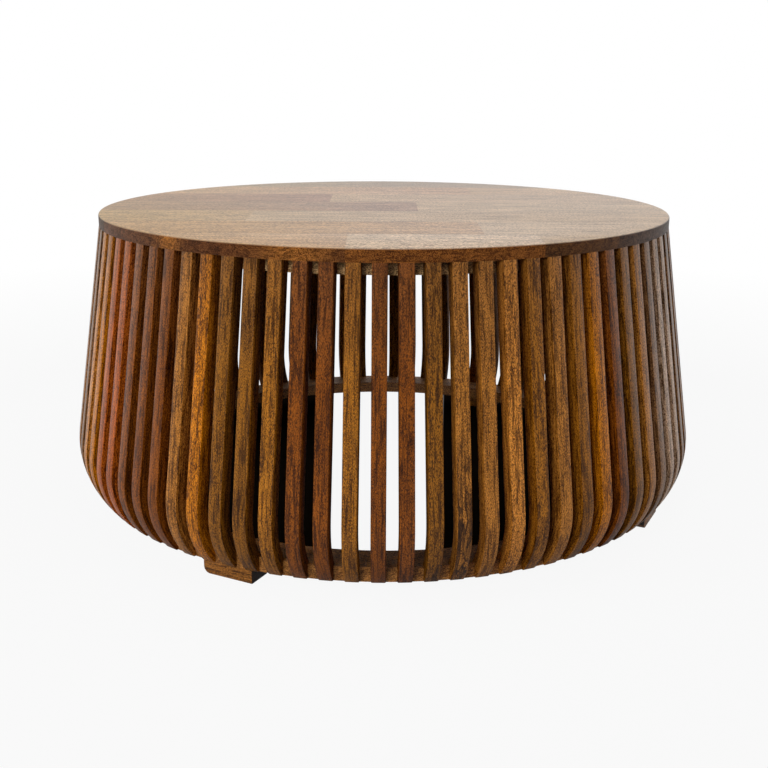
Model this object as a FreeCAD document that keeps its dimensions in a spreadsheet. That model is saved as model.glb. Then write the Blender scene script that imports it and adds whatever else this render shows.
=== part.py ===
"""Slatted drum coffee table: a board top on 85 curved slats, two segmented rings and four feet.

The table stands on its feet at z = 0, +Z up, with its axis on the Z axis. The front is the -Y side,
and an angle round the table is counted from the front towards +X.
"""
import FreeCAD, Part
import os
from FreeCAD import Placement, Rotation, Vector
import Sketcher

# Driving dimensions in millimetres and degrees. Every piece takes its size and place from these.
SIZES = {
    "overall_height": 420,
    "top_radius": 412,
    "top_thickness": 16,
    "rim_easing": 2,
    "slat_width": 18,
    "slat_depth": 20,
    "slat_easing": 1,
    "flare_angle": 9,
    "belly_radius": 105,
    "toe_thickness": 3,
    "first_slat_angle": -0.6,
    "upper_ring_width": 42,
    "upper_ring_thickness": 17,
    "base_ring_outset": 17,
    "base_ring_width": 48,
    "base_ring_thickness": 19,
    "fit_gap": 0.3,
    "overrun": 10,
    "foot_height": 20,
    "foot_length": 73,
    "foot_depth": 34,
    "foot_setback": 2,
    "foot_end_round": 9,
    "first_foot_angle": -26.9,
}

# Counts
SLAT_GROUPS = 17
SLATS_PER_GROUP = 5
SLAT_COUNT = SLAT_GROUPS * SLATS_PER_GROUP
# The slats repeat so often that each bend is sawn in flats, which leave the true curve by 0.3 mm.
OUTER_FLAT_COUNT = 6
INNER_FLAT_COUNT = 5
RING_SEGMENTS = 8
BOARD_ROWS = 7
FOOT_NAMES = ("foot_front_left", "foot_front_right", "foot_rear_right", "foot_rear_left")

# End joints of each row of boards, from the front row to the rear one, as shares of the top's radius.
END_JOINT_SHARES = (
    (-0.106, 0.454),
    (0.30,),
    (-0.45,),
    (0.12,),
    (-0.204,),
    (0.35,),
    (-0.10,),
)
PIECE_NAMES = {2: ("left", "right"), 3: ("left", "middle", "right")}

doc = FreeCAD.newDocument("SlattedDrumTable")


def make_sheet():
    """Writes the driving dimensions and the few heights worked out from them."""
    sheet = doc.addObject("Spreadsheet::Sheet", "Sizes")
    rows = {name: str(value) for name, value in SIZES.items()}
    rows["top_underside"] = "=overall_height - top_thickness"
    rows["base_ring_top"] = "=foot_height + base_ring_thickness"
    rows["base_ring_radius"] = "=top_radius + base_ring_outset"
    rows["toe_radius"] = "=base_ring_radius + toe_thickness"
    rows["heel_radius"] = "=base_ring_radius + fit_gap"
    rows["head_depth"] = "=slat_depth / cos(flare_angle * 1 deg)"
    rows["flare_slope"] = "=tan(flare_angle * 1 deg)"
    rows["upper_ring_bottom"] = "=top_underside - upper_ring_thickness"
    rows["upper_ring_radius"] = "=top_radius - head_depth - fit_gap"
    rows["upper_ring_low_radius"] = "=upper_ring_radius + upper_ring_thickness * flare_slope"
    rows["upper_ring_bore"] = "=upper_ring_radius - upper_ring_width"
    rows["base_ring_bore"] = "=base_ring_radius - base_ring_width"
    rows["board_width"] = f"=2 * top_radius / {BOARD_ROWS}"
    for number, (name, text) in enumerate(rows.items(), start=1):
        sheet.set(f"A{number}", name)
        sheet.set(f"B{number}", text)
        sheet.setAlias(f"B{number}", name)
    doc.recompute()
    return sheet


sheet = make_sheet()


def size(name):
    """Reads one value of the sheet as a plain number."""
    value = getattr(sheet, name)
    return float(getattr(value, "Value", value))


def origin_plane(body, role):
    """Finds one of the body's own origin planes or axes by its role."""
    for feature in body.Origin.OriginFeatures:
        if feature.Role == role:
            return feature
    raise ValueError(f"{body.Label} has no origin feature {role}")


def new_body(label):
    body = doc.addObject("PartDesign::Body", label)
    body.Label = label
    body.AllowCompound = True
    return body


def new_sketch(body, role, name):
    sketch = body.newObject("Sketcher::SketchObject", name)
    sketch.AttachmentSupport = [(origin_plane(body, role), "")]
    sketch.MapMode = "FlatFace"
    return sketch


def turn_about_axis(feature, angle_text):
    """Turns a finished piece about the table's axis; the angle is an expression in degrees."""
    feature.Placement = Placement(Vector(0, 0, 0), Rotation(Vector(0, 0, 1), 1))
    feature.setExpression("Placement.Rotation.Angle", f"({angle_text}) * 1 deg")


def bind(sketch, constraint, name, expression):
    """Adds one driving constraint, names it and ties it to the sheet."""
    number = sketch.addConstraint(constraint)
    sketch.renameConstraint(number, name)
    sketch.setExpression(f"Constraints.{name}", expression)
    return number


def rectangle(sketch, left, right, low, high):
    """Draws an upright rectangle whose four sides are expressions of the sheet."""
    corners = [Vector(1, 1, 0), Vector(2, 1, 0), Vector(2, 2, 0), Vector(1, 2, 0)]
    for start in range(4):
        sketch.addGeometry(Part.LineSegment(corners[start], corners[(start + 1) % 4]), False)
    for start in range(4):
        sketch.addConstraint(Sketcher.Constraint("Coincident", start, 2, (start + 1) % 4, 1))
    for side in (0, 2):
        sketch.addConstraint(Sketcher.Constraint("Horizontal", side))
    for side in (1, 3):
        sketch.addConstraint(Sketcher.Constraint("Vertical", side))
    bind(sketch, Sketcher.Constraint("DistanceX", 0, 1, 1), "left_side", left)
    bind(sketch, Sketcher.Constraint("DistanceX", 1, 1, 2), "right_side", right)
    bind(sketch, Sketcher.Constraint("DistanceY", 0, 1, 1), "low_side", low)
    bind(sketch, Sketcher.Constraint("DistanceY", 2, 1, 2), "high_side", high)


def belly_flats(sketch, circle, centre, start, end, count):
    """Draws the belly's equal flats as chords of a construction circle; returns the first and last."""
    spoke = start - centre
    turn = spoke.getAngle(end - centre) / count
    corners = [centre + Rotation(Vector(0, 0, 1), Radian=turn * step).multVec(spoke)
               for step in range(count + 1)]
    flats = [sketch.addGeometry(Part.LineSegment(low, high), False)
             for low, high in zip(corners, corners[1:])]
    for lower, upper in zip(flats, flats[1:]):
        sketch.addConstraint(Sketcher.Constraint("Coincident", lower, 2, upper, 1))
        sketch.addConstraint(Sketcher.Constraint("PointOnObject", lower, 2, circle))
        sketch.addConstraint(Sketcher.Constraint("Equal", lower, upper))
    sketch.addConstraint(Sketcher.Constraint("PointOnObject", flats[0], 1, circle))
    return flats[0], flats[-1]


def slat_outline(sketch):
    """Draws a slat's side view: straight flare, round belly, notched toe, then the same bend inside."""
    flare = Rotation(Vector(0, 0, 1), size("flare_angle"))
    outward = flare.multVec(Vector(1, 0, 0))
    downward = flare.multVec(Vector(0, -1, 0))
    belly = size("belly_radius")
    hollow = belly - size("slat_depth")
    head = Vector(size("top_radius"), size("top_underside"), 0)
    toe = Vector(size("toe_radius"), size("foot_height"), 0)
    # The belly's centre lies where its circle touches the straight flare and passes through the toe.
    to_toe = toe - (head - outward * belly)
    along = to_toe.dot(downward)
    flare_length = along - (along ** 2 - to_toe.dot(to_toe) + belly ** 2) ** 0.5
    hip = head + downward * flare_length
    centre = hip - outward * belly
    inner_hip = centre + outward * hollow
    inner_head = Vector(head.x - size("head_depth"), head.y, 0)
    heel = Vector(size("heel_radius"), toe.y, 0)
    shoulder = Vector(heel.x, size("base_ring_top"), 0)
    reach = (hollow ** 2 - (shoulder.y - centre.y) ** 2) ** 0.5
    inner_toe = Vector(centre.x + reach, shoulder.y, 0)

    def line(start, end):
        return sketch.addGeometry(Part.LineSegment(start, end), False)

    def rule(*parts):
        sketch.addConstraint(Sketcher.Constraint(*parts))

    outer = sketch.addGeometry(Part.Circle(centre, Vector(0, 0, 1), belly), True)
    inner = sketch.addGeometry(Part.Circle(centre, Vector(0, 0, 1), hollow), True)
    front = line(hip, head)
    toe_flat, hip_flat = belly_flats(sketch, outer, centre, toe, hip, OUTER_FLAT_COUNT)
    sole = line(toe, heel)
    seat = line(heel, shoulder)
    notch = line(shoulder, inner_toe)
    low_flat, high_flat = belly_flats(sketch, inner, centre, inner_toe, inner_hip, INNER_FLAT_COUNT)
    back = line(inner_hip, inner_head)
    crown = line(inner_head, head)

    corners = [(hip_flat, 2, front, 1), (toe_flat, 1, sole, 1), (sole, 2, seat, 1)]
    corners += [(seat, 2, notch, 1), (notch, 2, low_flat, 1), (high_flat, 2, back, 1)]
    corners += [(back, 2, crown, 1), (crown, 2, front, 2), (outer, 3, inner, 3)]
    for corner in corners:
        rule("Coincident", *corner)
    rule("Tangent", front, 1, outer)
    rule("Tangent", back, 1, inner)
    for level in (sole, notch, crown):
        rule("Horizontal", level)
    rule("Vertical", seat)
    rule("Parallel", front, back)

    def driven(kind, *parts):
        *places, name, expression = parts
        bind(sketch, Sketcher.Constraint(kind, *places), name, expression)

    flare_turn = (head - hip).getAngle(Vector(1, 0, 0))
    driven("Angle", front, flare_turn, "flare", "90 deg + Sizes.flare_angle * 1 deg")
    driven("Radius", outer, belly, "belly", "Sizes.belly_radius")
    driven("Distance", back, 2, front, size("slat_depth"), "depth", "Sizes.slat_depth")
    driven("DistanceX", front, 2, head.x, "head_out", "Sizes.top_radius")
    driven("DistanceY", front, 2, head.y, "head_up", "Sizes.top_underside")
    driven("DistanceX", toe_flat, 1, toe.x, "toe_out", "Sizes.toe_radius")
    driven("DistanceY", toe_flat, 1, toe.y, "toe_up", "Sizes.foot_height")
    driven("DistanceX", sole, 2, heel.x, "heel_out", "Sizes.heel_radius")
    driven("DistanceY", seat, 2, shoulder.y, "shoulder_up", "Sizes.base_ring_top")


def outer_long_edges(shape):
    """Names the lengthwise edges of the faces that a slat shows to the outside."""
    names = set()
    for face in shape.Faces:
        normal = face.normalAt(0, 0)
        if face.CenterOfMass.x < size("upper_ring_radius") or normal.x < 0 or abs(normal.z) > 0.9:
            continue
        if abs(normal.y) > 0.5:
            continue
        lengthwise = [edge for edge in face.Edges if edge.BoundBox.YLength < size("slat_easing")]
        for number, edge in enumerate(shape.Edges, start=1):
            if any(edge.isSame(other) for other in lengthwise):
                names.add(f"Edge{number}")
    return sorted(names)


def make_slats(group):
    """Five neighbouring slats: one sawn profile with eased outer edges, repeated round the axis."""
    first = group * SLATS_PER_GROUP
    body = new_body(f"slats_{first + 1:02d}_to_{first + SLATS_PER_GROUP:02d}")
    sketch = new_sketch(body, "XZ_Plane", f"slat_outline_{group + 1}")
    slat_outline(sketch)
    pad = body.newObject("PartDesign::Pad", f"slat_{group + 1}")
    pad.Profile = sketch
    pad.SideType = "Symmetric"
    pad.setExpression("Length", "Sizes.slat_width")
    doc.recompute()
    eased = body.newObject("PartDesign::Chamfer", f"slat_eased_{group + 1}")
    eased.Base = (pad, outer_long_edges(pad.Shape))
    eased.setExpression("Size", "Sizes.slat_easing")
    ring = body.newObject("PartDesign::PolarPattern", f"slat_row_{group + 1}")
    ring.TransformMode = "Whole shape"
    ring.Axis = (origin_plane(body, "Z_Axis"), [""])
    ring.Mode = "Spacing"
    ring.Offset = 360 / SLAT_COUNT
    ring.Occurrences = SLATS_PER_GROUP
    body.Tip = ring
    turn_about_axis(body, f"Sizes.first_slat_angle - 90 + {first} * 360 / {SLAT_COUNT}")
    return body


def make_ring_segment(label, outline, number):
    """One of the sawn segments that are glued end to end into a flat ring."""
    body = new_body(f"{label}_{number + 1}")
    sketch = new_sketch(body, "XZ_Plane", f"{label}_outline_{number + 1}")
    outline(sketch)
    turned = body.newObject("PartDesign::Revolution", f"{label}_sawn_{number + 1}")
    turned.Profile = sketch
    turned.ReferenceAxis = (sketch, ["V_Axis"])
    turned.Angle = 360 / RING_SEGMENTS
    turn_about_axis(body, f"{number} * 360 / {RING_SEGMENTS}")
    return body


def base_ring_outline(sketch):
    rectangle(sketch, "Sizes.base_ring_bore", "Sizes.base_ring_radius", "Sizes.foot_height",
              "Sizes.base_ring_top")


def upper_ring_outline(sketch):
    """The upper ring's outer edge is bevelled to the flare, so the slats lie flat against it."""
    bore = Vector(size("upper_ring_bore"), size("upper_ring_bottom"), 0)
    low = Vector(size("upper_ring_low_radius"), bore.y, 0)
    high = Vector(size("upper_ring_radius"), size("top_underside"), 0)
    inner = Vector(bore.x, high.y, 0)
    corners = [bore, low, high, inner]
    for start in range(4):
        sketch.addGeometry(Part.LineSegment(corners[start], corners[(start + 1) % 4]), False)
    for start in range(4):
        sketch.addConstraint(Sketcher.Constraint("Coincident", start, 2, (start + 1) % 4, 1))
    sketch.addConstraint(Sketcher.Constraint("Horizontal", 0))
    sketch.addConstraint(Sketcher.Constraint("Horizontal", 2))
    sketch.addConstraint(Sketcher.Constraint("Vertical", 3))
    bind(sketch, Sketcher.Constraint("DistanceX", 0, 1, bore.x), "bore", "Sizes.upper_ring_bore")
    bind(sketch, Sketcher.Constraint("DistanceX", 1, 1, low.x), "low", "Sizes.upper_ring_low_radius")
    bind(sketch, Sketcher.Constraint("DistanceX", 2, 1, high.x), "high", "Sizes.upper_ring_radius")
    bind(sketch, Sketcher.Constraint("DistanceY", 0, 1, bore.y), "underside", "Sizes.upper_ring_bottom")
    bind(sketch, Sketcher.Constraint("DistanceY", 2, 1, high.y), "topside", "Sizes.top_underside")


def make_top_blank():
    """The whole round top with its eased upper rim, before it is parted into its boards."""
    body = new_body("top_blank")
    sketch = new_sketch(body, "XY_Plane", "top_outline")
    sketch.setExpression("AttachmentOffset.Base.z", "Sizes.top_underside")
    sketch.addGeometry(Part.Circle(Vector(0, 0, 0), Vector(0, 0, 1), size("top_radius")), False)
    sketch.addConstraint(Sketcher.Constraint("Coincident", 0, 3, -1, 1))
    bind(sketch, Sketcher.Constraint("Radius", 0, size("top_radius")), "rim", "Sizes.top_radius")
    pad = body.newObject("PartDesign::Pad", "top_thickness_pad")
    pad.Profile = sketch
    pad.setExpression("Length", "Sizes.top_thickness")
    doc.recompute()
    upper = [f"Edge{number}" for number, edge in enumerate(pad.Shape.Edges, start=1)
             if edge.BoundBox.ZMin > size("top_underside") + size("rim_easing")]
    eased = body.newObject("PartDesign::Chamfer", "rim_eased")
    eased.Base = (pad, upper)
    eased.setExpression("Size", "Sizes.rim_easing")
    body.Tip = eased
    return body


def make_board(blank, row, piece, left, right):
    """One length of one row of the glued-up top, cut from the round blank along its joints."""
    pieces = len(END_JOINT_SHARES[row]) + 1
    label = f"top_board_{row + 1}_{PIECE_NAMES[pieces][piece]}"
    front = "-Sizes.top_radius" if row else "-Sizes.top_radius - Sizes.overrun"
    width = "Sizes.board_width" if 0 < row < BOARD_ROWS - 1 else "Sizes.board_width + Sizes.overrun"
    block = doc.addObject("Part::Box", f"{label}_block")
    block.setExpression("Length", f"({right}) - ({left})")
    block.setExpression("Width", width)
    block.setExpression("Height", "Sizes.top_thickness + 2 * Sizes.overrun")
    block.setExpression("Placement.Base.x", left)
    block.setExpression("Placement.Base.y", f"{front} + {row} * Sizes.board_width")
    block.setExpression("Placement.Base.z", "Sizes.top_underside - Sizes.overrun")
    board = doc.addObject("Part::Common", label)
    board.Label = label
    board.Base = blank
    board.Tool = block
    return board


def make_top():
    blank = make_top_blank()
    boards = []
    for row, joints in enumerate(END_JOINT_SHARES):
        places = [f"({share}) * Sizes.top_radius" for share in joints]
        places = ["-Sizes.top_radius - Sizes.overrun"] + places + ["Sizes.top_radius + Sizes.overrun"]
        for piece in range(len(places) - 1):
            boards.append(make_board(blank, row, piece, places[piece], places[piece + 1]))
    return boards


def make_foot(name, number):
    """A block under the base ring, with its lower edge rounded off at the left end seen from outside."""
    body = new_body(name)
    sketch = new_sketch(body, "YZ_Plane", f"{name}_front")
    sketch.setExpression("AttachmentOffset.Base.z",
                         "Sizes.base_ring_radius - Sizes.foot_setback - Sizes.foot_depth")
    rectangle(sketch, "-Sizes.foot_length / 2", "Sizes.foot_length / 2", "0 mm", "Sizes.foot_height")
    pad = body.newObject("PartDesign::Pad", f"{name}_block")
    pad.Profile = sketch
    pad.setExpression("Length", "Sizes.foot_depth")
    doc.recompute()
    end = [f"Edge{index}" for index, edge in enumerate(pad.Shape.Edges, start=1)
           if max(edge.BoundBox.ZMax, edge.BoundBox.YMax) < size("fit_gap")]
    rounded = body.newObject("PartDesign::Fillet", f"{name}_end")
    rounded.Base = (pad, end)
    rounded.setExpression("Radius", "Sizes.foot_end_round")
    body.Tip = rounded
    turn_about_axis(body, f"Sizes.first_foot_angle - 90 + {number} * 360 / {len(FOOT_NAMES)}")
    return body


nodes = make_top()
nodes += [make_slats(group) for group in range(SLAT_GROUPS)]
nodes += [make_ring_segment("upper_ring_segment", upper_ring_outline, number)
          for number in range(RING_SEGMENTS)]
nodes += [make_ring_segment("base_ring_segment", base_ring_outline, number)
          for number in range(RING_SEGMENTS)]
nodes += [make_foot(name, number) for number, name in enumerate(FOOT_NAMES)]
doc.recompute()

for item in doc.Objects:
    if "Invalid" in item.State or "Error" in item.State:
        raise RuntimeError(f"{item.Label} did not build: {item.State}")
for node in nodes:
    if node.Shape.isNull() or not node.Shape.isValid():
        raise RuntimeError(f"{node.Label} has no valid shape")
    if node.Label.startswith("slats") and len(node.Shape.Solids) != SLATS_PER_GROUP:
        raise RuntimeError(f"{node.Label} holds {len(node.Shape.Solids)} solids")

os.makedirs("parts", exist_ok=True)
for node in nodes:
    node.Shape.exportStep(f"parts/{node.Label}.step")
print(len(nodes), "nodes,", sum(len(node.Shape.Solids) for node in nodes), "solids")
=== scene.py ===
# %% [markdown]
# # A round coffee table of 85 curved slats
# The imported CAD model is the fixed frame: it has every piece at its real size and place. This script
# keeps the two hidden rings from it, and stands finer pieces in for the boards, the slats and the feet,
# which are what the eye meets first. Each finer piece lies exactly where its plain solid lies.

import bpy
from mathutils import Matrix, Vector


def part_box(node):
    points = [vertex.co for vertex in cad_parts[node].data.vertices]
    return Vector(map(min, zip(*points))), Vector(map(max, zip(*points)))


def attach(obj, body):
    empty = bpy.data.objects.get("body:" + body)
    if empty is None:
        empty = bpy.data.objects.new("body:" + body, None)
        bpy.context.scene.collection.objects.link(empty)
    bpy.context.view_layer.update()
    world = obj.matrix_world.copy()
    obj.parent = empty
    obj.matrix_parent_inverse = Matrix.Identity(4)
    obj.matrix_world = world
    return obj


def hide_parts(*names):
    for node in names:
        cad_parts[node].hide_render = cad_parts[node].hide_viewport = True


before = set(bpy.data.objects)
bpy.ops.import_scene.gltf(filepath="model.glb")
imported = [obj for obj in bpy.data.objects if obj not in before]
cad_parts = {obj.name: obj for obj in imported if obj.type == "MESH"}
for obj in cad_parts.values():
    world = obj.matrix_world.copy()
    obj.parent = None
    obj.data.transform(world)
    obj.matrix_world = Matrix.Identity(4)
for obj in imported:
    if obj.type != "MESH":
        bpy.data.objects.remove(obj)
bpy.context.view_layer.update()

# %% [markdown]
# ## Sizes
# Heights are read from the frame, so they can't drift from the CAD. They could be typed again here, but
# two copies of a size soon differ. Only the few sizes that a box doesn't give, such as the bend of a
# slat, are named here in metres.

# %% Sizes
import math
import random

import bmesh
import bpy
from mathutils import Euler, Matrix, Vector

MM = 0.001
TOP_RADIUS = 412 * MM
TOP_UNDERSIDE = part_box("top_board_4_left")[0].z
TOP_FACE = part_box("top_board_4_left")[1].z
RING_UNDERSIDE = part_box("base_ring_segment_1")[0].z
RING_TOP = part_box("base_ring_segment_1")[1].z

SLAT_COUNT = 85
SLATS_PER_NODE = 5
SLAT_WIDTH = 18 * MM
SLAT_DEPTH = 20 * MM
FIRST_SLAT_ANGLE = math.radians(-0.6)
SLAT_PITCH = math.tau / SLAT_COUNT
FLARE = math.radians(9)
BELLY_RADIUS = 105 * MM
TOE_RADIUS = 432 * MM
HEEL_RADIUS = 429.3 * MM
RIDE = "root"
print(f"top {TOP_FACE:.3f} m high, slats from {RING_UNDERSIDE:.3f} to {TOP_UNDERSIDE:.3f} m")

# %% [markdown]
# ## Colours
# Colours are given as sRGB hex values, and shaders want linear ones, so one function turns
# each of them. The table is made of mango wood, whose heartwood runs from honey to walnut brown. That is
# why each slat gets its own tone, round which its pale and dark fibres vary.

# %% Colours


def linear(hex_colour):
    """Turns an sRGB hex colour into the linear RGBA that shaders work in."""
    channels = [int(hex_colour[start:start + 2], 16) / 255 for start in (1, 3, 5)]
    return [c / 12.92 if c <= 0.04045 else ((c + 0.055) / 1.055) ** 2.4 for c in channels] + [1.0]


# The first tone is greyed: it paints the lacquer's reflection of the white room on the outer slats on the
# right.
PEARL_REFLECTION = "#bc9d89"
HONEY = "#c88539"
AMBER = "#ae7431"
OCHRE = "#be7511"
TAN = "#886344"
BROWN = "#9f671d"
UMBER = "#b05a15"
WALNUT = "#8b5a17"
RUSSET = "#83480e"
WHITE = (1.0, 1.0, 1.0, 1.0)
print("nine wood tones from", PEARL_REFLECTION, "to", RUSSET)

# %% [markdown]
# ## Nodes of a material
# Every material below is a small network of nodes. It could be put together by hand in the shader
# editor, but a script says plainly what each value is and gives the same wood each time. One helper adds
# a node, sets what is set on it, and fills its inputs: an input that is given another node takes that
# node's first output, one that is given a socket is linked to it, and anything else is a plain value.
# Inputs go by name, or by their place where a node has several of one name, as the Mix node does: 0 is
# its factor, 6 and 7 are its colours, and its mixed colour is output 2.

# %% A helper for nodes


def add(tree, kind, inputs=None, **settings):
    """Adds a node, sets its settings, and fills or links the inputs named in the dictionary."""
    node = tree.nodes.new(kind)
    for name, value in settings.items():
        setattr(node, name, value)
    for name, value in (inputs or {}).items():
        if isinstance(value, bpy.types.Node):
            value = value.outputs[0]
        if isinstance(value, bpy.types.NodeSocket):
            tree.links.new(value, node.inputs[name])
        else:
            node.inputs[name].default_value = value
    return node


def spot_scale(width, length):
    """The Mapping scale at which a noise's spots are so many metres wide, deep and long."""
    return (1 / width, 1 / width, 1 / length)


def stained(tree, wood, share, stain):
    """The wood's colour socket, darkened by a stain where the share is above nothing."""
    return add(tree, "ShaderNodeMix", {0: share, 6: wood, 7: linear(stain)},
               data_type="RGBA", blend_type="MULTIPLY").outputs[2]


print("a noise with 9 by 45 mm spots is scaled by", [round(part) for part in spot_scale(9 * MM, 45 * MM)])

# %% [markdown]
# ## The fibres of mango wood
# Real mango wood shows three things to the eye: slow waves of lighter and darker growth, growth lines
# along the grain, and interlocked fibres that catch the light as small pale flecks. A photograph of wood
# wrapped round the slats would show them too, but it would repeat and stretch. Here each is a noise whose
# spots are as wide and as long as the real ones, and their sum is the figure of the wood. The noise's own
# scale is kept at one, so that the Mapping node alone says how large its spots are.

# %% The fibres
# Width and length of the spots in millimetres, then how fine they break up, and their weight.
FIGURE = (
    (7.4, 58, 2.0, 0.40),
    (1.85, 28, 2.0, 0.25),
    (0.8, 2.2, 2.0, 1.50),
)
FIGURE_MIDDLE = sum(weight for width, length, detail, weight in FIGURE) / 2
FIGURE_WAVER = 0.5
# Dark fibres keep more of their red than of their blue, as real heartwood does, and pale ones shine
# through the lacquer brighter than the tone itself, so their factor is above one.
DARK_FIBRES = "#78624f"
PALE_FIBRES = (1.5, 1.42, 1.2, 1.0)


def fibre_paleness(tree, place, contrast):
    """0 in the darkest fibres and 1 in the palest; less contrast gives more of both ends."""
    figure = 0.0
    for width, length, detail, weight in FIGURE:
        spots = add(tree, "ShaderNodeMapping",
                    {"Vector": place, "Scale": spot_scale(width * MM, length * MM)})
        noise = add(tree, "ShaderNodeTexNoise",
                    {"Vector": spots, "Scale": 1.0, "Detail": detail, "Distortion": FIGURE_WAVER})
        figure = add(tree, "ShaderNodeMath", {0: noise, 1: weight, 2: figure}, operation="MULTIPLY_ADD")
    return add(tree, "ShaderNodeMapRange",
               {"Value": figure, "From Min": FIGURE_MIDDLE - contrast,
                "From Max": FIGURE_MIDDLE + contrast})


def toned_fibres(tree, tone, paleness):
    """The tone of the plank, multiplied by its dark and pale fibres."""
    fibres = add(tree, "ShaderNodeMix", {0: paleness, 6: linear(DARK_FIBRES), 7: PALE_FIBRES},
                 data_type="RGBA")
    return add(tree, "ShaderNodeMix", {0: 1.0, 6: tone, 7: fibres.outputs[2]},
               data_type="RGBA", blend_type="MULTIPLY").outputs[2]


print(len(FIGURE), "noises make the figure, their middle value is", FIGURE_MIDDLE)

# %% [markdown]
# ## Heartwood and pores
# Heartwood runs through the honey-coloured wood in olive bands, and the wood's open pores are short dark
# dashes. Both could be drawn as curves on the surface. A noise does it with far less work: only its
# highest values make the bands, and only its very lowest ones make the pores.

# %% Heartwood and pores
HEARTWOOD = "#75663f"
BAND_WIDTH = 2.8 * MM
BAND_LENGTH = 40 * MM
BAND_WAVER = 0.8
BAND_EDGES = (0.50, 0.62)
PORES = "#66503f"
PORE_WIDTH = 0.25 * MM
PORE_LENGTH = 1.85 * MM
PORE_EDGES = (0.31, 0.25)


def heartwood_share(tree, place, strength):
    """How much heartwood colours a point, up to the given strength."""
    bands = add(tree, "ShaderNodeMapping", {"Vector": place, "Scale": spot_scale(BAND_WIDTH, BAND_LENGTH)})
    waves = add(tree, "ShaderNodeTexNoise",
                {"Vector": bands, "Scale": 1.0, "Detail": 2.0, "Distortion": BAND_WAVER})
    return add(tree, "ShaderNodeMapRange",
               {"Value": waves, "From Min": BAND_EDGES[0], "From Max": BAND_EDGES[1], "To Max": strength})


def pore_share(tree, place):
    """1 inside a pore, 0 outside."""
    dashes = add(tree, "ShaderNodeMapping", {"Vector": place, "Scale": spot_scale(PORE_WIDTH, PORE_LENGTH)})
    spread = add(tree, "ShaderNodeTexNoise", {"Vector": dashes, "Scale": 1.0, "Detail": 1.0})
    return add(tree, "ShaderNodeMapRange",
               {"Value": spread, "From Min": PORE_EDGES[0], "From Max": PORE_EDGES[1]})


print("bands", round(BAND_WIDTH / MM, 2), "mm wide, pores", round(PORE_WIDTH / MM, 2), "mm wide")

# %% [markdown]
# ## Spalt
# In some planks a fungus drew thin, dark, wavering lines round darker spots before the wood was dried.
# Such lines are like the contour lines of a map, so they are made as a map's are: a line is drawn wherever
# a noise passes its middle value, and the spots are shaded where the noise lies above it.

# %% Spalt
SPALT = "#3a2a1e"
SPALT_WIDTH = 8 * MM
SPALT_LENGTH = 45 * MM
SPALT_WAVER = 0.5
SPALT_LEVEL = 0.5
LINE_EDGES = (0.055, 0.02)
SPOT_EDGES = (0.42, 0.56)
SPOT_DARKNESS = 0.5


def spalt_share(tree, place):
    """1 on a line, half of that inside a spot, 0 elsewhere."""
    marks = add(tree, "ShaderNodeMapping",
                {"Vector": place, "Scale": spot_scale(SPALT_WIDTH, SPALT_LENGTH)})
    drawn = add(tree, "ShaderNodeTexNoise",
                {"Vector": marks, "Scale": 1.0, "Detail": 2.0, "Distortion": SPALT_WAVER})
    beside = add(tree, "ShaderNodeMath", {0: drawn, 1: SPALT_LEVEL}, operation="SUBTRACT")
    beside = add(tree, "ShaderNodeMath", {0: beside}, operation="ABSOLUTE")
    lines = add(tree, "ShaderNodeMapRange",
                {"Value": beside, "From Min": LINE_EDGES[0], "From Max": LINE_EDGES[1]})
    spots = add(tree, "ShaderNodeMapRange",
                {"Value": drawn, "From Min": SPOT_EDGES[0], "From Max": SPOT_EDGES[1],
                 "To Max": SPOT_DARKNESS})
    return add(tree, "ShaderNodeMath", {0: lines, 1: spots}, operation="MAXIMUM")


print("spalt spots are", round(SPALT_WIDTH / MM), "by", round(SPALT_LENGTH / MM), "mm")

# %% [markdown]
# ## Mango wood under satin lacquer
# The finish is a clear satin lacquer, wiped thin: it mirrors little of what stands in front of it, and
# much where it is seen at a low angle, as any clear film does. Pale fibres are a little smoother than dark
# ones, and pores lie a tenth of a millimetre deep. A piece carries its own wood with it: the attribute
# wood_place says where in its plank each point lies, as width, depth and length in metres, so the grain
# follows a bent slat round its belly, and no two slats share the same figure. Plain Object coordinates
# would let the grain run straight through the bend.

# %% Mango wood
PLACE = "wood_place"
TONE = "wood_tone"
STREAKS = "wood_streaks"
LACQUER_IOR = 1.5
LACQUER_SPECULAR = 0.5
DARK_ROUGHER = 0.08
PALE_SMOOTHER = 0.04
PORE_DEPTH = 0.1 * MM
BUMP_STRENGTH = 0.3


def carried_place(tree):
    return add(tree, "ShaderNodeAttribute", attribute_name=PLACE).outputs["Vector"]


def carried_tone(tree):
    return add(tree, "ShaderNodeAttribute", attribute_name=TONE).outputs["Color"]


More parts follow.
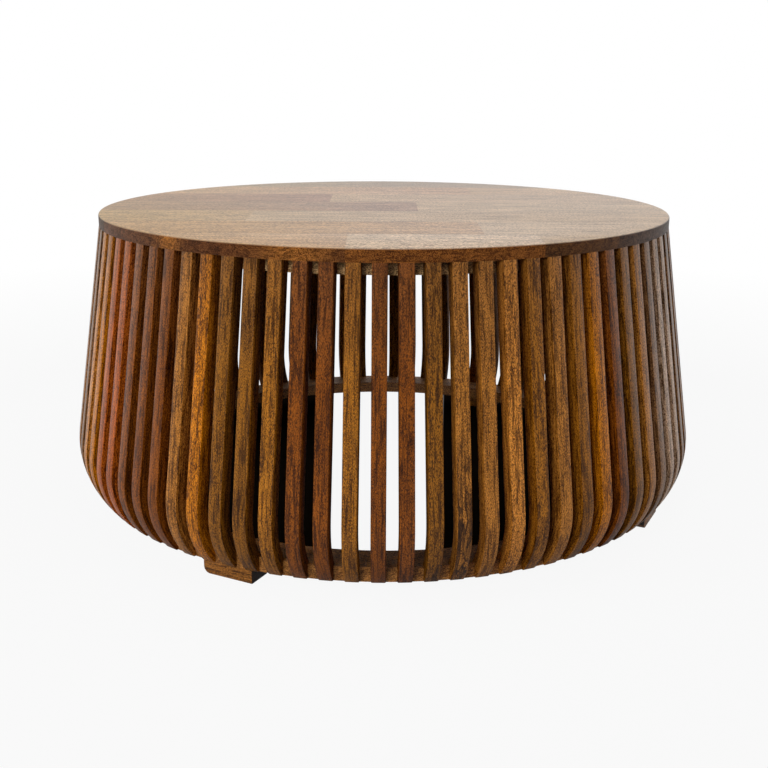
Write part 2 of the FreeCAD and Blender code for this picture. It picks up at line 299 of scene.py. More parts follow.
def mango_wood(name, place_of, tone_of, contrast, roughness, heartwood, spalted=False):
    """Builds one wood material; the functions that it is given add the nodes that tell place and tone."""
    material = bpy.data.materials.new(name)
    material.use_nodes = True
    tree = material.node_tree
    shader = tree.nodes["Principled BSDF"]
    place = place_of(tree)
    paleness = fibre_paleness(tree, place, contrast)
    pores = pore_share(tree, place)
    wood = toned_fibres(tree, tone_of(tree), paleness)
    wood = stained(tree, wood, heartwood_share(tree, place, heartwood), HEARTWOOD)
    wood = stained(tree, wood, pores, PORES)
    if spalted:
        strength = add(tree, "ShaderNodeAttribute", attribute_name=STREAKS).outputs["Fac"]
        amount = add(tree, "ShaderNodeMath", {0: spalt_share(tree, place), 1: strength},
                     operation="MULTIPLY")
        wood = stained(tree, wood, amount, SPALT)
    tree.links.new(wood, shader.inputs["Base Color"])
    shine = add(tree, "ShaderNodeMapRange",
                {"Value": paleness, "To Min": roughness + DARK_ROUGHER,
                 "To Max": roughness - PALE_SMOOTHER})
    tree.links.new(shine.outputs["Result"], shader.inputs["Roughness"])
    height = add(tree, "ShaderNodeMath", {0: paleness, 1: pores}, operation="SUBTRACT")
    bump = add(tree, "ShaderNodeBump",
               {"Strength": BUMP_STRENGTH, "Distance": PORE_DEPTH, "Height": height})
    tree.links.new(bump.outputs["Normal"], shader.inputs["Normal"])
    shader.inputs["IOR"].default_value = LACQUER_IOR
    shader.inputs["Specular IOR Level"].default_value = LACQUER_SPECULAR
    return material


print("mango wood's lacquer has an IOR of", LACQUER_IOR)

# %% [markdown]
# ## The slats' and the rim's finish
# The front of a slat was sanded and lacquered, so it has a soft sheen. Its sides and inner face were left
# as sawn, and the rim of the top is end grain that drank the lacquer, so both look nearly matt. One
# material with a mask could do all three, but three materials are easier to read and to change.

# %% The slats' and the rim's finish
SAWN_SPECULAR = 0.15
RIM_SPECULAR = 0.2
slat_wood = mango_wood("mango_slat_satin", carried_place, carried_tone, contrast=0.17, roughness=0.39,
                       heartwood=0.8, spalted=True)
sawn_wood = mango_wood("mango_slat_sawn", carried_place, carried_tone, contrast=0.2, roughness=0.8,
                       heartwood=0.8)
rim_wood = mango_wood("mango_rim_satin", carried_place, carried_tone, contrast=0.10, roughness=0.5,
                      heartwood=0.6)
for wood, level in ((sawn_wood, SAWN_SPECULAR), (rim_wood, RIM_SPECULAR)):
    wood.node_tree.nodes["Principled BSDF"].inputs["Specular IOR Level"].default_value = level
print("materials:", slat_wood.name, sawn_wood.name, rim_wood.name)

# %% [markdown]
# ## The table's face
# The top is the same wood, but it was sanded finer and lacquered in several coats, so it carries a clear
# film. At the low angle from which people see a table, that film mirrors the bright room and makes the
# brown wood look pale. A paler base colour would look the same from one side only. The shader's coat does
# it from every side.

# %% The table's face
COAT = {"Coat Weight": 0.36, "Coat Roughness": 0.3, "Coat IOR": 1.5}
top_wood = mango_wood("mango_top_lacquered", carried_place, carried_tone, contrast=0.15, roughness=0.38,
                      heartwood=0.4)
for socket, value in COAT.items():
    top_wood.node_tree.nodes["Principled BSDF"].inputs[socket].default_value = value
print("material:", top_wood.name, COAT)

# %% [markdown]
# ## From a bmesh to a finished piece
# A new piece starts as a bmesh, is turned into an object at the origin, rides on the table's one body,
# and hides the plain solid that it stands for. Faces are smooth except across edges sharper than 26
# degrees, so that the belly looks bent and a corner still looks cut.
#
# A bevel modifier could ease the edges, but it would ease them all. Cutting and easing in the bmesh lets
# a piece keep its sharp edges where it meets another.

# %% Helpers that shape a bmesh
SHARP = math.radians(26)
TOUCHING = 0.1 * MM


def whole(bm):
    """All the geometry of a bmesh, as the cutting operators want it."""
    return bm.verts[:] + bm.edges[:] + bm.faces[:]


def cut(bm, point, outward, keep=False):
    """Cuts a bmesh with a plane, and drops what lies on the outward side unless it is kept."""
    bmesh.ops.bisect_plane(bm, geom=whole(bm), dist=1e-7, plane_co=point, plane_no=outward,
                           clear_outer=not keep)


def close(bm):
    """Fills every open outline with a face and points all faces outwards."""
    bmesh.ops.edgenet_fill(bm, edges=[edge for edge in bm.edges if len(edge.link_faces) < 2])
    bmesh.ops.recalc_face_normals(bm, faces=bm.faces[:])


def ease(bm, edges, size, segments=3):
    """Rounds edges over, as sandpaper does."""
    bmesh.ops.bevel(bm, geom=edges, offset=size, offset_type="OFFSET", segments=segments, profile=0.5,
                    affect="EDGES", clamp_overlap=True, material=-1)


def new_verts(extruded):
    """The vertices that an extrusion added."""
    return [item for item in extruded if isinstance(item, bmesh.types.BMVert)]


print("edges sharper than", round(math.degrees(SHARP)), "degrees stay sharp")

# %% [markdown]
# ## A piece and its wood
# The wood's place, tone and streaks are written into each vertex. An image wrapped round the piece could
# hold them too, but vertices carry smooth values with no image to draw.

# %% Helpers that finish a piece


def wooden_bmesh():
    """An empty bmesh with room for the wood's attributes, which have to be there before its vertices."""
    bm = bmesh.new()
    bm.verts.layers.float_vector.new(PLACE)
    bm.verts.layers.float_color.new(TONE)
    bm.verts.layers.float.new(STREAKS)
    return bm


def stamp_wood(bm, verts, place_of, tone_of, streaks_of=None):
    """Writes where in its plank each vertex lies, its tone and how strongly the plank is streaked."""
    places = bm.verts.layers.float_vector[PLACE]
    tones = bm.verts.layers.float_color[TONE]
    marks = bm.verts.layers.float[STREAKS]
    for vert in verts:
        vert[places] = place_of(vert.co)
        vert[tones] = tone_of(vert.co)
        vert[marks] = streaks_of(vert.co) if streaks_of else 0.0


def blended(first, second, share):
    """A linear colour on the way from one to another."""
    return [start + (end - start) * share for start, end in zip(first, second)]


def finish_piece(bm, node, materials):
    """Turns a bmesh into a piece that rides on the table and stands for a CAD node."""
    name = f"{node}_finished"
    for face in bm.faces:
        face.smooth = True
    for edge in bm.edges:
        edge.smooth = len(edge.link_faces) == 2 and edge.calc_face_angle() < SHARP
    mesh = bpy.data.meshes.new(name)
    bm.to_mesh(mesh)
    bm.free()
    for material in materials:
        mesh.materials.append(material)
    piece = bpy.data.objects.new(name, mesh)
    bpy.context.scene.collection.objects.link(piece)
    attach(piece, RIDE)
    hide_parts(node)
    return piece


print("each vertex carries", PLACE, TONE, STREAKS)

# %% [markdown]
# ## The top
# The real top is glued up from seven rows of boards and then sawn round, so its rim shows end grain and
# joints. Each board here starts as the whole disc: a circle, pushed up to its thickness, with the upper
# rim eased. Then planes cut away what the neighbouring boards take. This keeps all the boards' rims on
# one perfect circle, which separate curved boards wouldn't.

# %% The boards' tones
# Each board's tone on its face, and on its rim, where the finish sank deeper into the end grain. The face
# tones of row 7, at the back, are darker: they paint the shade that falls on the back of the top.
BOARD_TONES_AND_SHADE = {
    "top_board_1_left": ("#ac865c", "#5c3820"), "top_board_1_middle": ("#b89e84", "#7c4c22"),
    "top_board_1_right": ("#a68a68", "#58381c"), "top_board_2_left": ("#a0763f", "#5c3820"),
    "top_board_2_right": ("#ac9070", "#4a301e"), "top_board_3_left": ("#9c763a", "#442a18"),
    "top_board_3_right": ("#a58660", "#402c1c"), "top_board_4_left": ("#82531e", "#402816"),
    "top_board_4_right": ("#a88963", "#3e2a1b"), "top_board_5_left": ("#824c1a", "#422818"),
    "top_board_5_right": ("#a5835c", "#482e1a"), "top_board_6_left": ("#a4784a", "#6c4020"),
    "top_board_6_right": ("#ab865a", "#5c3a1a"), "top_board_7_left": ("#84643c", "#7a4a20"),
    "top_board_7_right": ("#84643c", "#64401c"),
}
# The front rim is paler at two places: x of each place's middle, and its reach.
RIM_PALE_TONE = "#94602d"
RIM_PALE_PATCHES = ((-101 * MM, 40 * MM), (-259 * MM, 14 * MM))


def rim_tone_at(tone, co):
    """The rim's own tone, and paler at two places of the front rim."""
    if co.y > 0:
        return tone
    share = max(math.exp(-((co.x - middle) / reach) ** 2) for middle, reach in RIM_PALE_PATCHES)
    return blended(tone, linear(RIM_PALE_TONE), share)


print(len(BOARD_TONES_AND_SHADE), "boards have a tone each")

# %% [markdown]
# ## The top's boards
# Grain runs along a board, so on its face the plank's length lies along X. The same fibres end at the rim,
# where the saw crossed them, and there the flecks are shorter and the wood is darker. Face and rim get a
# material each, by which way each small face looks.

# %% The top's boards
RIM_EASING = 2.5 * MM
RIM_STEPS = 256
# The boards are flat-sawn planks, so their growth lines lie further apart than a slat's.
BOARD_GRAIN = 0.77
# The saw crossed the fibres at the rim, which cuts their flecks short.
RIM_GRAIN = 2.4
# Each board is cut from another part of the wood, this far from the last one.
BOARD_SHIFT = Vector((0.31, 0.17, 0.53))
FACE_UPWARD = 0.3


def top_disc():
    bm = wooden_bmesh()
    bmesh.ops.create_circle(bm, cap_ends=True, radius=TOP_RADIUS, segments=RIM_STEPS)
    bmesh.ops.translate(bm, verts=bm.verts, vec=(0, 0, TOP_UNDERSIDE))
    upper = new_verts(bmesh.ops.extrude_face_region(bm, geom=bm.faces[:])["geom"])
    bmesh.ops.translate(bm, verts=upper, vec=(0, 0, TOP_FACE - TOP_UNDERSIDE))
    return bm


def cut_to_box(bm, low, high):
    """Cuts the disc along each side of the board's box that lies inside the disc."""
    for axis in range(2):
        for corner, sign in ((low, -1), (high, 1)):
            if abs(corner[axis]) < TOP_RADIUS - RIM_EASING:
                outward = Vector((0, 0, 0))
                outward[axis] = sign
                cut(bm, corner, outward)
                close(bm)


def board(name, number):
    """One board: the disc with its upper rim eased, cut down to the CAD board's box."""
    bm = top_disc()
    bmesh.ops.recalc_face_normals(bm, faces=bm.faces[:])
    rim = [edge for edge in bm.edges
           if all(vert.co.z > TOP_FACE - RIM_EASING for vert in edge.verts)]
    ease(bm, rim, RIM_EASING)
    cut_to_box(bm, *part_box(name))
    shift = BOARD_SHIFT * number
    face_tone, rim_tone = [linear(tone) for tone in BOARD_TONES_AND_SHADE[name]]

    def on_face(co):
        return co.z > TOP_FACE - RIM_EASING / 4

    def place(co):
        if on_face(co):
            return Vector((co.y * BOARD_GRAIN, co.z, co.x * BOARD_GRAIN)) + shift
        return Vector((co.y, co.z, co.x * RIM_GRAIN)) + shift

    stamp_wood(bm, bm.verts, place, lambda co: face_tone if on_face(co) else rim_tone_at(rim_tone, co))
    for face in bm.faces:
        face.material_index = 0 if face.normal.z > FACE_UPWARD else 1
    return finish_piece(bm, name, (top_wood, rim_wood))


boards = [board(name, number) for number, name in enumerate(sorted(BOARD_TONES_AND_SHADE))]
print(len(boards), "boards,", sum(len(piece.data.polygons) for piece in boards), "faces")

# %% [markdown]
# ## One slat's line
# A real slat is sawn from a plank to a straight flare and a round belly, then its edges are eased. Its line
# could be drawn as a curve and given a section, but a curve's section turns and thins at its ends. Here
# the line is worked out as a carpenter would: the belly's circle touches the straight flare and passes
# through the toe.

# %% One slat's line
FLARE_OUT = Vector((math.cos(FLARE), 0, math.sin(FLARE)))
FLARE_UP = Vector((-math.sin(FLARE), 0, math.cos(FLARE)))


def belly_centre():
    """The centre of the belly's circle, in the plane of a slat that stands at +X."""
    head = Vector((TOP_RADIUS, 0, TOP_UNDERSIDE))
    toe = Vector((TOE_RADIUS, 0, RING_UNDERSIDE))
    to_toe = toe - (head - FLARE_OUT * BELLY_RADIUS)
    along = -to_toe.dot(FLARE_UP)
    drop = along - math.sqrt(along ** 2 - to_toe.length_squared + BELLY_RADIUS ** 2)
    return head - FLARE_UP * drop - FLARE_OUT * BELLY_RADIUS


BELLY_CENTRE = belly_centre()


def place_on_slat(co):
    """Where in its plank a point of the slat lies: across, in depth and along, round the belly."""
    spoke = co - BELLY_CENTRE
    up = spoke.dot(FLARE_UP)
    out = spoke.dot(FLARE_OUT)
    if up > 0:
        return Vector((co.y, BELLY_RADIUS - out, up))
    return Vector((co.y, BELLY_RADIUS - math.hypot(up, out), BELLY_RADIUS * math.atan2(up, out)))


print("the belly turns round a point", round(BELLY_CENTRE.x, 4), "m out,", round(BELLY_CENTRE.z, 4), "m up")

# %% [markdown]
# ## One slat
# The slat's section is swept: a loop of four edges where flare and belly meet is spun down round the
# belly's centre and pushed straight up along the flare. Two level planes trim the ends, and a notch is
# opened at the heel, where the slat sits over the base ring. All 85 slats are copies of this one, as they
# are copies of one pattern in the workshop.

# %% One slat
BELLY_STEPS = 14
BELLY_SWEEP = math.radians(70)
SLAT_EASING = 1.2 * MM
SPARE = 12 * MM
# Vertices at these heights carry the painted shade's change towards the head.
HEAD_LEVELS = (200 * MM, 260 * MM, 330 * MM)
SIDEWAYS = 0.9


def in_notch(co):
    return co.x < HEEL_RADIUS + TOUCHING and co.z < RING_TOP + TOUCHING


def swept_slat(bm):
    """Spins the section round the belly and pushes it up along the flare."""
    half = SLAT_WIDTH / 2
    inner = BELLY_RADIUS - SLAT_DEPTH
    section = ((BELLY_RADIUS, -half), (BELLY_RADIUS, half), (inner, half), (inner, -half))
    verts = [bm.verts.new(BELLY_CENTRE + FLARE_OUT * reach + Vector((0, side, 0)))
             for reach, side in section]
    loop = [bm.edges.new((verts[start], verts[(start + 1) % 4])) for start in range(4)]
    bmesh.ops.spin(bm, geom=verts + loop, cent=BELLY_CENTRE, axis=(0, 1, 0), steps=BELLY_STEPS,
                   angle=BELLY_SWEEP)
    head = new_verts(bmesh.ops.extrude_edge_only(bm, edges=loop)["geom"])
    bmesh.ops.translate(bm, verts=head, vec=FLARE_UP * (TOP_UNDERSIDE - BELLY_CENTRE.z + SPARE))


def open_notch(bm):
    """Cuts the slat along the ring's top and the heel, and takes out what lies between them."""
    cut(bm, (0, 0, RING_TOP), (0, 0, 1), keep=True)
    cut(bm, (HEEL_RADIUS, 0, 0), (1, 0, 0), keep=True)
    heel = [face for face in bm.faces if in_notch(face.calc_center_median())]
    bmesh.ops.delete(bm, geom=heel, context="FACES")
    for level in (RING_UNDERSIDE, RING_TOP):
        ends = [vert for vert in bm.verts
                if abs(vert.co.x - HEEL_RADIUS) < TOUCHING and abs(vert.co.z - level) < TOUCHING]
        bm.edges.new(ends)


def slat_template():
    """The one slat that all 85 are copied from, standing at +X."""
    bm = bmesh.new()
    swept_slat(bm)
    cut(bm, (0, 0, TOP_UNDERSIDE), (0, 0, 1))
    for level in HEAD_LEVELS:
        cut(bm, (0, 0, level), (0, 0, 1), keep=True)
    cut(bm, (0, 0, RING_UNDERSIDE), (0, 0, -1))
    open_notch(bm)
    close(bm)
    eased = [edge for edge in bm.edges
             if edge.calc_face_angle() > SHARP
             and not all(in_notch(vert.co) for vert in edge.verts)
             and not all(vert.co.z > TOP_UNDERSIDE - MM for vert in edge.verts)]
    ease(bm, eased, SLAT_EASING, segments=2)
    for face in bm.faces:
        inner = place_on_slat(face.calc_center_median()).y > SLAT_DEPTH - MM
        face.material_index = int(abs(face.normal.y) > SIDEWAYS or inner)
    mesh = bpy.data.meshes.new("slat_template")
    bm.to_mesh(mesh)
    bm.free()
    return mesh


template = slat_template()
print("one slat has", len(template.polygons), "faces")

# %% [markdown]
# ## The slats' tones
# The maker took planks as they came, so dark and pale slats stand side by side. One tone for all would
# look like plastic. Where the photograph shows the slats, each tone is given as a letter per slat from
# the front round to each side. Behind, they are drawn by chance from the same tones, with a
# fixed seed so that the table is the same each time.

# %% The slats' tones
TONE_LETTERS = {"p": PEARL_REFLECTION, "h": HONEY, "a": AMBER, "o": OCHRE, "t": TAN, "b": BROWN, "u": UMBER,
                "w": WALNUT, "r": RUSSET}
# Besides each slat's own tone, the letters of the outer slats paint part of the light on them: paler tones
# on the left, where light falls from that side, and greyed ones on the right, for the lacquer's reflection.
FRONT_TONES = "rrwaahbaborwatpptwtrt"
LEFT_TONES = "brrbwwoarrruuohtwtrt"
REAR_TONES = "haotbbtbwwrr"
chance = random.Random(85)
# The sides and the inner face were left as sawn, which is a little darker than the sanded front; the darker
# tone also paints the shade in the gaps and inside the drum.
SAWN_AND_SHADE_SHARE = 0.95
# Near the top the slats turn darker and greyer, which paints the shade that falls on them under the top.
HEAD_SHADE_TONE = "#62442f"
HEAD_SHADE_SHARE = 0.4


def slat_tone(number):
    """The tone of slat 0 to 84: listed where the photograph shows them, drawn by chance behind."""
    if number < len(FRONT_TONES):
        return TONE_LETTERS[FRONT_TONES[number]]
    if SLAT_COUNT - number <= len(LEFT_TONES):
        return TONE_LETTERS[LEFT_TONES[SLAT_COUNT - number - 1]]
    return TONE_LETTERS[chance.choice(REAR_TONES)]


def shaded_towards_head(tone, height):
    """The slat's tone at a height: its own up to the second level, then more and more the painted shade of
    the head.
    """
    share = HEAD_SHADE_SHARE * max(0.0, height - HEAD_LEVELS[1]) / (TOP_UNDERSIDE - HEAD_LEVELS[1])
    return blended(tone, linear(HEAD_SHADE_TONE), share)


print(len(FRONT_TONES) + len(LEFT_TONES), "slats have a tone picked by hand")

# %% [markdown]
# ## All the slats
# The template is copied, turned to its place and given its own plank: a shift of the grain, a tone and,
# for a few, spalt. Copies that share one mesh would be lighter, but then they would share their grain too.
# Five neighbours make one piece, as they share a node in the CAD.

# %% All the slats
# Spalted planks, and how strongly; the streaks fade out this far above the belly.
STREAKED = {3: 0.9, 8: 0.5, 24: 0.8, 39: 0.9, 55: 0.8, 62: 0.7}
STREAK_REACH = 150 * MM
# Each slat is cut from another part of the wood: across, in depth, and along with every seventh alike.
ACROSS_SHIFT = 45 * MM
DEPTH_SHIFT = 29 * MM
ALONG_SHIFT = 370 * MM
ALONG_TURNS = 7


def stamp_slat(bm, verts, number):
    """Gives one fresh slat, still at +X, its own plank."""
    shift = Vector((ACROSS_SHIFT * number, DEPTH_SHIFT * number, ALONG_SHIFT * (number % ALONG_TURNS)))
    front = linear(slat_tone(number))
    # The side and inner faces get the darker tone: sawn wood, and painted shade in the gaps between the
    # slats and inside the drum.
    sawn = [channel * SAWN_AND_SHADE_SHARE for channel in front[:3]] + [1.0]

    def tone(co):
        place = place_on_slat(co)
        in_gap_or_inside = abs(place.x) > SLAT_WIDTH / 2 - MM / 2 or place.y > SLAT_DEPTH - MM / 2
        return shaded_towards_head(sawn if in_gap_or_inside else front, co.z)

    def streaks(co):
        fading = 1 - place_on_slat(co).z / STREAK_REACH
        return STREAKED.get(number, 0.0) * min(1.0, max(0.0, fading))

    stamp_wood(bm, verts, lambda co: place_on_slat(co) + shift, tone, streaks)


def slats(first):
    """The five slats of one CAD node, as one piece."""
    bm = wooden_bmesh()
    for number in range(first, first + SLATS_PER_NODE):
        start = len(bm.verts)
        bm.from_mesh(template)
        bm.verts.ensure_lookup_table()
        fresh = bm.verts[start:]
        stamp_slat(bm, fresh, number)
        turn = Matrix.Rotation(FIRST_SLAT_ANGLE + number * SLAT_PITCH - math.pi / 2, 3, "Z")
        bmesh.ops.rotate(bm, cent=(0, 0, 0), matrix=turn, verts=fresh)
    node = f"slats_{first + 1:02d}_to_{first + SLATS_PER_NODE:02d}"
    return finish_piece(bm, node, (slat_wood, sawn_wood))


groups = [slats(first) for first in range(0, SLAT_COUNT, SLATS_PER_NODE)]
print(len(groups), "groups of slats,", sum(len(piece.data.polygons) for piece in groups), "faces")

# %% [markdown]
# ## The feet
# Four plain blocks lift the base ring off the floor. Each is rounded off at one lower end, the left one
# seen from outside, and the grain runs along it. A cube is scaled to size before its edges are eased,
# because easing first would stretch the round edges.

# %% The feet
FOOT_LENGTH = 73 * MM
FOOT_DEPTH = 34 * MM
FOOT_HEIGHT = RING_UNDERSIDE
FOOT_FRONT = 427 * MM
FOOT_END_ROUND = 9 * MM
FOOT_EASING = 1 * MM
FOOT_TONE = "#9c672c"
# End grain drinks the oil and goes darker, and the nearly black tone also paints the shade on the feet's
# ends.
FOOT_END_GRAIN_AND_SHADE = "#2c1a10"
FOOT_ANGLES = {"foot_front_left": -26.9, "foot_front_right": 63.1,
               "foot_rear_right": 153.1, "foot_rear_left": 243.1}


def foot_block():
    """A foot at +X, with its left lower end rounded and its other edges eased."""
    bm = wooden_bmesh()
    bmesh.ops.create_cube(bm, size=1.0)
    bmesh.ops.scale(bm, vec=(FOOT_DEPTH, FOOT_LENGTH, FOOT_HEIGHT), verts=bm.verts)
    bmesh.ops.translate(bm, vec=(FOOT_FRONT - FOOT_DEPTH / 2, 0, FOOT_HEIGHT / 2), verts=bm.verts)
    left_end = [edge for edge in bm.edges if all(vert.co.z < MM and vert.co.y < 0 for vert in edge.verts)]
    ease(bm, left_end, FOOT_END_ROUND, segments=6)
    rest = [edge for edge in bm.edges
            if edge.calc_face_angle() > SHARP
            and not all(vert.co.z > FOOT_HEIGHT - MM for vert in edge.verts)]
    ease(bm, rest, FOOT_EASING, segments=2)
    return bm


def foot(name, angle):
    """One block, turned to its place under the ring."""
    bm = foot_block()
    shift = Vector((angle, angle, angle)) * MM
    front, end = linear(FOOT_TONE), linear(FOOT_END_GRAIN_AND_SHADE)
    stamp_wood(bm, bm.verts, lambda co: Vector((co.x, co.z, co.y)) + shift,
               lambda co: end if abs(co.y) > FOOT_LENGTH / 2 - FOOT_EASING / 2 else front)
    turn = Matrix.Rotation(math.radians(angle - 90), 3, "Z")
    bmesh.ops.rotate(bm, cent=(0, 0, 0), matrix=turn, verts=bm.verts)
    return finish_piece(bm, name, (slat_wood,))


feet = [foot(name, angle) for name, angle in FOOT_ANGLES.items()]
print(len(feet), "feet")

# %% [markdown]
# ## The rings
# The CAD's ring segments have the right shape already, and little of them shows, so they stay. Each is
# sawn from a straight plank, so its grain runs square to the line from the table's axis to its middle.
# They have no attribute of their own, so a Mapping node turns the Object coordinates to that direction.

# %% The rings
RING_SEGMENTS = 8
# Both ring tones are pale: they paint the light that falls on the rings between the slats, where the rings
# stand in the slats' shade.
RING_LIT_TONES = {"upper_ring": "#c8a478", "base_ring": "#b07a42"}


def turned_object(angle):
    """Object coordinates turned so that the grain, which runs along Z, lies level across the segment."""
    def place(tree):
        coordinates = add(tree, "ShaderNodeTexCoord").outputs["Object"]
        level = add(tree, "ShaderNodeMapping", {"Vector": coordinates, "Rotation": (0, 0, -angle)})
        return add(tree, "ShaderNodeMapping", {"Vector": level, "Rotation": (math.pi / 2, 0, 0)})
    return place


for ring, tone in RING_LIT_TONES.items():
    for number in range(RING_SEGMENTS):
        node = f"{ring}_segment_{number + 1}"
        middle = (number + 0.5) * math.tau / RING_SEGMENTS
        sawn = mango_wood(f"mango_sawn_{node}", turned_object(middle), lambda tree: linear(tone),
                          contrast=0.16, roughness=0.55, heartwood=0.4)
        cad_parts[node].data.materials.clear()
        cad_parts[node].data.materials.append(sawn)
print(2 * RING_SEGMENTS, "ring segments")

# %% [markdown]
# ## What the camera and the lacquer see of the studio
# The photograph has a pure white ground, which lamps alone would only reach by bleaching the wood. So floor
# and world are white where the camera looks at them, and dimmer as lights. The lacquer mirrors the white
# behind the table and beside it, which is why the outer slats look grey, but the room in front of the
# table is dim, as it is behind any camera.

# %% What the camera and the lacquer see


def seen_directly(tree, place, front, back):
    """1 where the camera or a glass looks, and where a gloss looks too unless that is in front.

    Place is a point or a direction, and the room is dim where its Y lies before the front one.
    """
    rays = add(tree, "ShaderNodeLightPath").outputs
    depth = add(tree, "ShaderNodeSeparateXYZ", {"Vector": place}).outputs["Y"]
    white = add(tree, "ShaderNodeMapRange", {"Value": depth, "From Min": front, "From Max": back})
    glossy = add(tree, "ShaderNodeMath", {0: rays["Is Glossy Ray"], 1: white}, operation="MULTIPLY")
    looked = add(tree, "ShaderNodeMath", {0: rays["Is Camera Ray"], 1: glossy}, operation="MAXIMUM")
    return add(tree, "ShaderNodeMath", {0: looked, 1: rays["Is Transmission Ray"]}, operation="MAXIMUM")


def distance_from(tree, place, point):
    """How far a place lies from a point, in metres."""
    offset = add(tree, "ShaderNodeVectorMath", {0: place, 1: point}, operation="SUBTRACT")
    return add(tree, "ShaderNodeVectorMath", {0: offset}, operation="LENGTH").outputs["Value"]


print("camera, glass and gloss see white behind the table")

# %% [markdown]
# ## The floor
# The table stands on a white paper. Near the table the paper takes part of its brightness from the lamps,
# so the table keeps a soft shadow, and far off it is all white. Under the table, in the slats' shade, the
# photograph shows it nearly black, with a shaft of light that falls in between the middle slats and widens
# as it goes. The lamps here are too few to shade it so deeply, so the paper's colour paints that shade and
# the shaft of light in it.

# %% The floor
FLOOR_SIZE = 30.0
LIT_PAPER = "#989898"
SHADED_PAPER = "#1c1611"
# The camera looks in under the rear ring, so the painted shade lies a little behind the table's axis.
SHADE_CENTRE = (0, 0.06, 0)
SHADE_EDGE = (0.40, 0.44)
# The painted shaft of light spreads from a point this far in front of the axis, by these shares of the way.
SHAFT_START = 1.6
SHAFT_EDGE = (0.060, 0.052)
# The paper's own share of its brightness, and the distances between which it grows to the whole.
FLOOR_OWN_LIGHT = 0.92
OWN_LIGHT_REACH = (0.9, 2.2)
FLOOR_DIM_FRONT = -0.45
FLOOR_WHITE_BACK = 0.3


def painted_light_on_paper(tree, place):
    """1 where the paper is lit and in the painted shaft of light, 0 in the painted shade under the table.
    """
    distance = distance_from(tree, place, SHADE_CENTRE)
    open_air = add(tree, "ShaderNodeMapRange",
                   {"Value": distance, "From Min": SHADE_EDGE[0], "From Max": SHADE_EDGE[1]})
    sides = add(tree, "ShaderNodeSeparateXYZ", {"Vector": place}).outputs
    aside = add(tree, "ShaderNodeMath", {0: sides["X"]}, operation="ABSOLUTE")
    along = add(tree, "ShaderNodeMath", {0: sides["Y"], 1: SHAFT_START}, operation="ADD")
    spread = add(tree, "ShaderNodeMath", {0: aside, 1: along}, operation="DIVIDE")
    shaft = add(tree, "ShaderNodeMapRange",
                {"Value": spread, "From Min": SHAFT_EDGE[0], "From Max": SHAFT_EDGE[1]})
    return add(tree, "ShaderNodeMath", {0: open_air, 1: shaft}, operation="MAXIMUM")


def own_light(tree, place):
    """How much of its brightness lit paper has of itself: all of it far off, less near the table."""
    return add(tree, "ShaderNodeMapRange",
               {"Value": distance_from(tree, place, (0, 0, 0)), "From Min": OWN_LIGHT_REACH[0],
                "From Max": OWN_LIGHT_REACH[1], "To Min": FLOOR_OWN_LIGHT})


def studio_paper():
    material = bpy.data.materials.new("white_studio_paper")
    material.use_nodes = True
    tree = material.node_tree
    tree.nodes.remove(tree.nodes["Principled BSDF"])
    place = add(tree, "ShaderNodeTexCoord").outputs["Object"]
    painted_light = painted_light_on_paper(tree, place)
    colour = add(tree, "ShaderNodeMix", {0: painted_light, 6: linear(SHADED_PAPER), 7: linear(LIT_PAPER)},
                 data_type="RGBA")
    paper = add(tree, "ShaderNodeBsdfDiffuse", {"Color": colour.outputs[2]})
    glow = add(tree, "ShaderNodeEmission", {"Color": WHITE, "Strength": 1.0})
    lit = add(tree, "ShaderNodeMath", {0: own_light(tree, place), 1: painted_light}, operation="MULTIPLY")
    looked = seen_directly(tree, place, FLOOR_DIM_FRONT, FLOOR_WHITE_BACK)
    share = add(tree, "ShaderNodeMath", {0: looked, 1: lit}, operation="MULTIPLY")
    mixed = add(tree, "ShaderNodeMixShader", {0: share, 1: paper, 2: glow})
    tree.links.new(mixed.outputs["Shader"], tree.nodes["Material Output"].inputs["Surface"])
    return material


def studio_floor():
    bm = bmesh.new()
    bmesh.ops.create_grid(bm, x_segments=1, y_segments=1, size=FLOOR_SIZE / 2)
    mesh = bpy.data.meshes.new("studio_floor")
    bm.to_mesh(mesh)
    bm.free()
    mesh.materials.append(studio_paper())
    floor = bpy.data.objects.new("studio_floor", mesh)
    bpy.context.scene.collection.objects.link(floor)
    return floor


floor = studio_floor()
print("floor of", FLOOR_SIZE, "m with", floor.data.materials[0].name)

# %% [markdown]
# ## The world
# The walls of the studio are white to the camera, and give a weak even light. The wall on the left is a
# little warmer than white, which the top's lacquer shows. A wall of real geometry would do as well, but
# the world has no corners that could show in a view from another side.

# %% The world
WORLD_FILL = 0.14
WORLD_DIM_FRONT = -0.5
WORLD_WHITE_BACK = 0.2
LEFT_WALL = "#fbf6e6"
LEFT_WALL_EDGE = (-0.25, 0.0)


def studio_world():
    world = bpy.data.worlds.new("white_studio")
    bpy.context.scene.world = world
    world.use_nodes = True
    tree = world.node_tree
    background = tree.nodes["Background"]
    direction = add(tree, "ShaderNodeTexCoord").outputs["Generated"]
    looked = seen_directly(tree, direction, WORLD_DIM_FRONT, WORLD_WHITE_BACK)
    strength = add(tree, "ShaderNodeMapRange", {"Value": looked, "To Min": WORLD_FILL})
    tree.links.new(strength.outputs["Result"], background.inputs["Strength"])
    aside = add(tree, "ShaderNodeSeparateXYZ", {"Vector": direction}).outputs["X"]
    neutral = add(tree, "ShaderNodeMapRange",
                  {"Value": aside, "From Min": LEFT_WALL_EDGE[0], "From Max": LEFT_WALL_EDGE[1]})
    camera_ray = add(tree, "ShaderNodeLightPath").outputs["Is Camera Ray"]
    plain = add(tree, "ShaderNodeMath", {0: neutral, 1: camera_ray}, operation="MAXIMUM")
    colour = add(tree, "ShaderNodeMix", {0: plain, 6: linear(LEFT_WALL), 7: WHITE}, data_type="RGBA")
    tree.links.new(colour.outputs[2], background.inputs["Color"])
    return world


print("world:", studio_world().name)

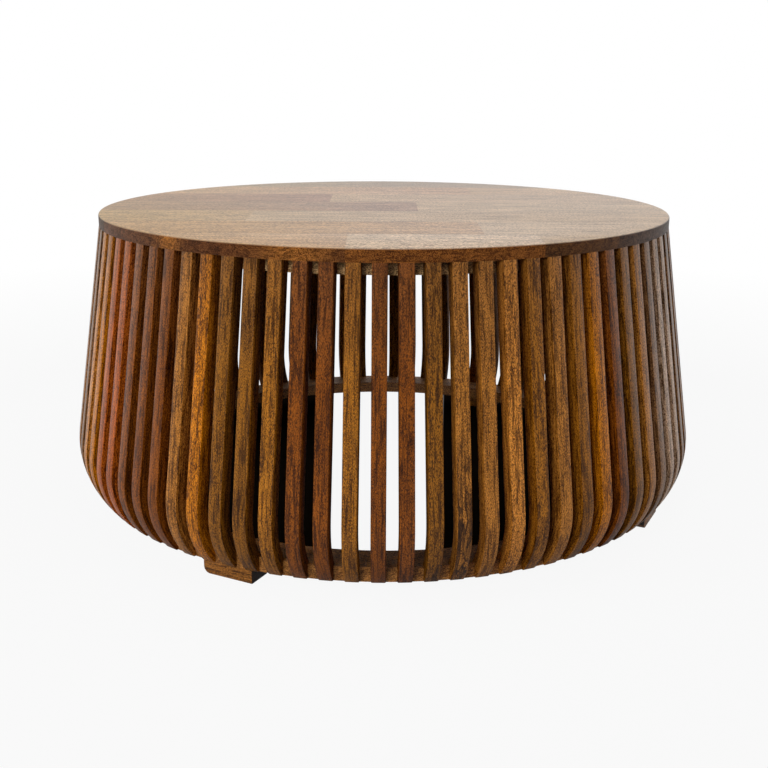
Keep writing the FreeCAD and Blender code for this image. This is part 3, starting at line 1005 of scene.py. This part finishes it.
# %% [markdown]
# ## The lamps
# Soft light comes from above and a little from the left, from square softboxes that all look at the middle
# of the table. Small lamps would throw hard shadows between the slats. The lamps carry polarising sheets,
# so they show as no glare on the lacquer.

# %% The lamps
LAMP_AIM = Vector((0, 0, 0.25))
# Each lamp's place and width in metres, and its power in watts.
SOFTBOXES = {
    "front_softbox": ((-1.1, -3.0, 1.6), 1.2, 46),
    "left_softbox": ((-2.8, -1.2, 1.6), 1.4, 48),
    "top_softbox": ((0.2, 0.0, 3.2), 2.0, 41),
    "right_softbox": ((2.8, -1.4, 1.5), 1.4, 26),
    "rear_softbox": ((0.5, 2.9, 1.6), 1.4, 24),
}


def softbox(name, place, width, power):
    """A square lamp that looks at the middle of the table."""
    data = bpy.data.lights.new(name, "AREA")
    data.size = width
    data.energy = power
    lamp = bpy.data.objects.new(name, data)
    lamp.location = place
    lamp.rotation_euler = (LAMP_AIM - Vector(place)).to_track_quat("-Z", "Y").to_euler()
    lamp.visible_glossy = False
    bpy.context.scene.collection.objects.link(lamp)


for name, (place, width, power) in SOFTBOXES.items():
    softbox(name, place, width, power)
print(len(SOFTBOXES), "lamps")

# %% [markdown]
# ## The camera
# The outlines of the top, the slats and the ring in the photograph were matched with a simple camera:
# it stands 1.59 m in front of the table's axis, 0.60 m above the floor, and looks 16 degrees down.

# %% The camera
CAMERA_PLACE = (0, -1.586, 0.600)
LOOKS_DOWN = math.radians(16.01)
LOOKS_RIGHT = math.radians(0.05)
ROLLS_LEFT = math.radians(0.3)
SENSOR_MM = 36
LENS_MM = 49.54
camera_data = bpy.data.cameras.new("photo_camera")
camera_data.sensor_width = SENSOR_MM
camera_data.lens = LENS_MM
camera = bpy.data.objects.new("photo_camera", camera_data)
aim = Euler((math.pi / 2 - LOOKS_DOWN, 0, -LOOKS_RIGHT)).to_matrix()
camera.rotation_euler = (aim @ Matrix.Rotation(ROLLS_LEFT, 3, "Z")).to_euler()
camera.location = CAMERA_PLACE
bpy.context.scene.collection.objects.link(camera)
bpy.context.scene.camera = camera
bpy.context.scene.view_settings.view_transform = "Standard"
print("lens", LENS_MM, "mm")
